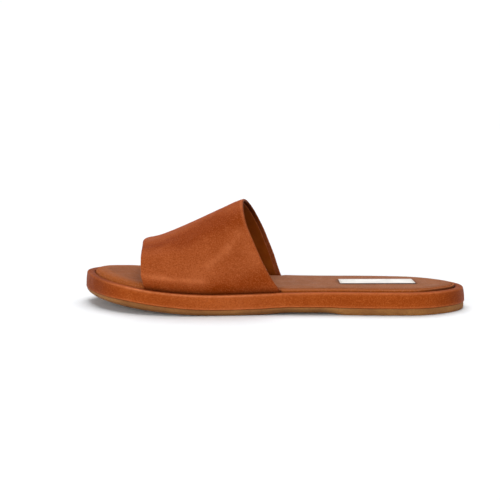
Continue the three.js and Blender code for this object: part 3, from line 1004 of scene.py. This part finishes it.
def make_footbed():
    """The padded footbed inside the rim. The strap presses it in, and it lies on the margins."""
    press = strap_presence(outline[:, 0], outline[:, 1]) * (STRAP_WALL + CLEARANCE)
    bottom = STRAP_WALL + 2 * CLEARANCE

    def edge_ring(inward, height):
        return ring(INSOLE_INSET + inward + press, height)

    # The turned edge shows as a cord along the sides and the heel, and lies flat at the toe.
    at_toe = smooth((outline[:, 0] - 30) / 30)
    at_heel = smooth((-90 - outline[:, 0]) / 25)
    rings = [edge_ring(0.4, lambda x: floor_at(x) + bottom)]
    rings.append(edge_ring(0.0, lambda x: floor_at(x) + bottom + 0.4))
    for inward, share, _, _ in FOOTBED_EDGE:
        share = share + (flat_edge(inward) - share) * at_toe

        def height(x, share=share):
            return insole_edge_at(x) + (insole_top_at(x) - insole_edge_at(x)) * share

        rings.append(edge_ring(inward, height))
    verts = np.vstack(rings)
    faces = closed_rows(rings)
    # The two rings of its hidden side come first.
    turned, pale_and_highlight, painted_shade = [np.ones(RING)] * 2, [np.zeros(RING)] * 2, [np.full(RING, 0.9)] * 2
    # Painted highlight along the cord; painted shade in the crease, on the side and along the heel's
    # edge.
    for inward, _, how_highlit, how_shaded in FOOTBED_EDGE:
        turned.append(smooth((5.5 + 9 * at_toe - inward) / (4.5 + 7 * at_toe)))
        pale_and_highlight.append(0.75 * how_highlit * (1 - 0.8 * at_toe))
        crease = how_shaded * (1 - 0.85 * at_toe * (inward > 0.3))
        painted_shade.append(np.clip(crease + 0.7 * at_heel * (inward < 0.7), 0, 1))

    def top(x, y):
        """Its worn face: soft dimples in the middle, and a hollow that the label lies in."""
        near = np.exp(-((beside_label(x, y) / 1.5) ** 2))
        dimple = 0.12 * np.sin(x / 13.0 + 0.6) * np.cos(y / 11.0)
        return insole_top_at(x) - 0.25 * near + dimple * (1 - near) * smooth((30 - np.abs(y)) / 12)

    verts, faces = close_end(verts, faces, rings, 90, top, True)
    verts, faces = close_end(verts, faces, rings, 8, lambda x, y: floor_at(x) + bottom, False)

    thing = piece("footbed", verts, faces, [footbed_leather()])
    # The open face inside the rings is warmer in colour towards the toe and darker there with
    # painted shade of the strap, and a thin painted shade lies round the label.
    ringed = len(rings) * RING
    plain = np.zeros(len(verts) - ringed)
    toe_warmth_and_shade = 0.55 * smooth((verts[:, 0] - 20) / 60)
    shade = 0.75 * np.exp(-((beside_label(verts[:, 0], verts[:, 1]) / 1.1) ** 2)) + 0.3 * toe_warmth_and_shade
    paint(thing, "turned", np.maximum(np.concatenate([*turned, plain]), toe_warmth_and_shade))
    paint(thing, "pale_and_highlight", np.concatenate([*pale_and_highlight, plain]))
    paint(thing, "painted_shade", np.concatenate([*painted_shade, shade[ringed:]]))
    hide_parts("insole")
    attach(thing, "root")


# Outsole


def cut_grooves(thing):
    """Cuts the tread: straight grooves across the sole, in stretches."""
    cutters = bmesh.new()
    tall = 4 * GROOVE_DEPTH
    for start, end in GROOVE_STRETCHES:
        length = (end - start) * SOLE_LENGTH
        count = int(length // GROOVE_PITCH)
        first = (start - 0.5) * SOLE_LENGTH + (length - count * GROOVE_PITCH) / 2
        for i in range(count + 1):
            x = first + i * GROOVE_PITCH
            outer = across_at(1, x, OUTSOLE_INSET + GROOVE_EDGE)
            inner = across_at(-1, x, OUTSOLE_INSET + GROOVE_EDGE)
            size = Vector((GROOVE_WIDTH, outer - inner, tall)) * MM
            middle_z = float(ground_at(x)) + GROOVE_DEPTH - tall / 2
            middle = Vector((x, (outer + inner) / 2 + ASIDE, middle_z)) * MM
            made = bmesh.ops.create_cube(cutters, size=1.0)["verts"]
            bmesh.ops.scale(cutters, vec=size, verts=made)
            bmesh.ops.translate(cutters, vec=middle, verts=made)
    mesh = bpy.data.meshes.new("groove_cutters")
    cutters.to_mesh(mesh)
    cutters.free()
    cutter = bpy.data.objects.new("groove_cutters", mesh)
    bpy.context.scene.collection.objects.link(cutter)
    cut = thing.modifiers.new("grooves", "BOOLEAN")
    cut.operation, cut.object, cut.solver = "DIFFERENCE", cutter, "EXACT"
    bpy.context.view_layer.update()
    shown = thing.evaluated_get(bpy.context.evaluated_depsgraph_get())
    grooved = bpy.data.meshes.new_from_object(shown)
    thing.modifiers.clear()
    thing.data = grooved
    bpy.data.objects.remove(cutter)
    grooved.set_sharp_from_angle(angle=math.radians(40))


def make_outsole():
    """The moulded sole, from its underside round a bevel up to the seam, with the tread cut in."""

    def bevel_in(x):
        return OUTSOLE_INSET + profile("bevel_in", x) * (seam_at(x) - spring_at(x))

    def bevel_top(x):
        return ground_at(x) + (seam_at(x) - ground_at(x)) * profile("bevel_up", x)

    def top_at(x):
        return seam_at(x) - OUTSOLE_GLUE

    rings = []
    for turn in np.radians(np.linspace(0, 90, 6)):
        inward, up = 1 - math.sin(turn), 1 - math.cos(turn)
        rings.append(
            ring(
                lambda x, inward=inward: OUTSOLE_INSET + (bevel_in(x) - OUTSOLE_INSET) * inward,
                lambda x, up=up: ground_at(x) + (bevel_top(x) - ground_at(x)) * up,
            )
        )
    for share in (0.3, 0.6, 0.9, 1.0):
        rings.append(
            ring(
                OUTSOLE_INSET + (0.15 if share == 1.0 else 0.0),
                lambda x, share=share: bevel_top(x) + (top_at(x) - bevel_top(x)) * share,
            )
        )
    verts = np.vstack(rings)
    faces = closed_rows(rings)
    verts, faces = close_end(verts, faces, rings, 8, lambda x, y: top_at(x), True)
    verts, faces = close_end(verts, faces, rings, 8, lambda x, y: ground_at(x), False)
    thing = piece("outsole_sole", verts, faces, [outsole_rubber()])

    cut_grooves(thing)

    # Painted shade darkens the underside and the turn of its edge, most in front of the heel.
    co = np.empty(len(thing.data.vertices) * 3)
    thing.data.vertices.foreach_get("co", co)
    x, z = co[0::3] / MM, co[2::3] / MM
    share = (z - ground_at(x)) / (seam_at(x) - ground_at(x))
    under = 1 - smooth((share - profile("bevel_up", x)) / 0.25)
    before_heel = smooth((x + 58) / 25)
    paint(thing, "painted_shade", 0.45 * under * (0.25 + 0.75 * before_heel))
    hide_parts("outsole")
    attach(thing, "root")


def make_label():
    """The blank patch that is glued on the heel of the footbed."""
    length, width, _ = LABEL_SIZE
    loop = []
    for side_u, side_v, start in ((1, 1, 0), (-1, 1, 90), (-1, -1, 180), (1, -1, 270)):
        for angle in np.radians(np.linspace(start, start + 90, CORNER_STEPS)):
            u = side_u * (length / 2 - LABEL_CORNER) + LABEL_CORNER * math.cos(angle)
            v = side_v * (width / 2 - LABEL_CORNER) + LABEL_CORNER * math.sin(angle)
            loop.append((u, v))
    loop = np.array(loop)
    rings = []
    for inward, down, _ in LABEL_EDGE:
        u, v = (loop * (1 - 2 * inward / np.array([length, width]))).T
        x, y = to_sole(u, v)
        rings.append(np.stack([x, y, insole_top_at(x) + LABEL_PROUD - down], 1))
    verts = np.vstack(rings)
    faces = closed_rows(rings)
    count = len(loop)
    side_faces = 2 * count
    faces.append(tuple(range(count))[::-1])
    faces.append(tuple(range(len(verts) - count, len(verts))))
    thing = piece("label_patch", verts, faces, [label_cloth(), shaded_label_side()], 60)
    thing.data.polygons.foreach_set("material_index", [i < side_faces for i in range(len(faces))])
    paint(thing, "border", np.repeat([soiled for _, _, soiled in LABEL_EDGE], count))
    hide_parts("insole_label")
    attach(thing, "root")


make_strap()
make_midsole()
make_footbed()
make_outsole()
make_label()


# Room, light and camera

# The camera stands on the outer side and looks a little down, as in the photograph: millimetres,
# and degrees of roll.
CAMERA_PLACE = (-39.9, 574.1, 119.4)
CAMERA_TARGET = (14.1, 0.0, 36.6)
CAMERA_ROLL = -0.23
CAMERA_LENS = 61.9


def make_floor():
    """A matte floor, wide enough to end in the white band of the room."""
    bpy.ops.mesh.primitive_grid_add(x_subdivisions=4, y_subdivisions=4, size=40.0)
    floor = bpy.context.object
    floor.name = "studio_floor"
    p = Paint("studio_floor")
    p.gloss(0.0)
    floor.data.materials.append(p.finish(base_color=(0.93, 0.955, 0.975), roughness=0.9))
    floor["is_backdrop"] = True


def sun(name, azimuth, elevation, strength, softness):
    """A broad light from far away. Azimuth is counted from +X towards +Y, all in degrees; strength
    is the light on a surface that faces it."""
    data = bpy.data.lights.new(name, "SUN")
    data.energy, data.angle = strength * math.pi, math.radians(softness)
    lamp = bpy.data.objects.new(name, data)
    turn, rise = math.radians(azimuth), math.radians(elevation)
    way = Vector((math.cos(turn) * math.cos(rise), math.sin(turn) * math.cos(rise), math.sin(rise)))
    lamp.location = way
    lamp.rotation_euler = way.to_track_quat("Z", "Y").to_euler()
    bpy.context.scene.collection.objects.link(lamp)


def make_world(horizon, sky):
    """A dim room with a white band low round it, which ends the floor."""
    world = bpy.data.worlds.new("studio")
    world.use_nodes = True
    nodes, links = world.node_tree.nodes, world.node_tree.links
    way = nodes.new("ShaderNodeTexCoord")
    split = nodes.new("ShaderNodeSeparateXYZ")
    band = nodes.new("ShaderNodeMapRange")
    band.interpolation_type = "SMOOTHSTEP"
    links.new(way.outputs["Generated"], split.inputs["Vector"])
    links.new(split.outputs["Z"], band.inputs["Value"])
    # The band fades between these two heights, where 1 is straight up.
    low, high = 0.2, 0.4
    for name, value in (("From Min", low), ("From Max", high), ("To Min", horizon), ("To Max", sky)):
        band.inputs[name].default_value = value
    links.new(band.outputs["Result"], nodes["Background"].inputs["Strength"])
    nodes["Background"].inputs["Color"].default_value = (1, 1, 1, 1)
    bpy.context.scene.world = world


def make_camera():
    data = bpy.data.cameras.new("camera")
    data.sensor_width, data.lens = 36.0, CAMERA_LENS
    data.clip_start = 0.01
    camera = bpy.data.objects.new("camera", data)
    place, target = Vector(CAMERA_PLACE) * MM, Vector(CAMERA_TARGET) * MM
    roll = Quaternion((0, 0, 1), math.radians(CAMERA_ROLL))
    camera.location = place
    camera.rotation_mode = "QUATERNION"
    camera.rotation_quaternion = (target - place).to_track_quat("-Z", "Y") @ roll
    bpy.context.scene.collection.objects.link(camera)
    bpy.context.scene.camera = camera


make_floor()
make_world(horizon=1.02, sky=0.15)
sun("top_back", azimuth=272, elevation=72, strength=0.83, softness=58)
sun("front_fill", azimuth=65, elevation=14, strength=0.42, softness=50)
make_camera()
bpy.context.scene.view_settings.view_transform = "Standard"

boxes = {"cad": cad_box, "visual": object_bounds()}
{name: [list(corner) for corner in box] for name, box in boxes.items()}
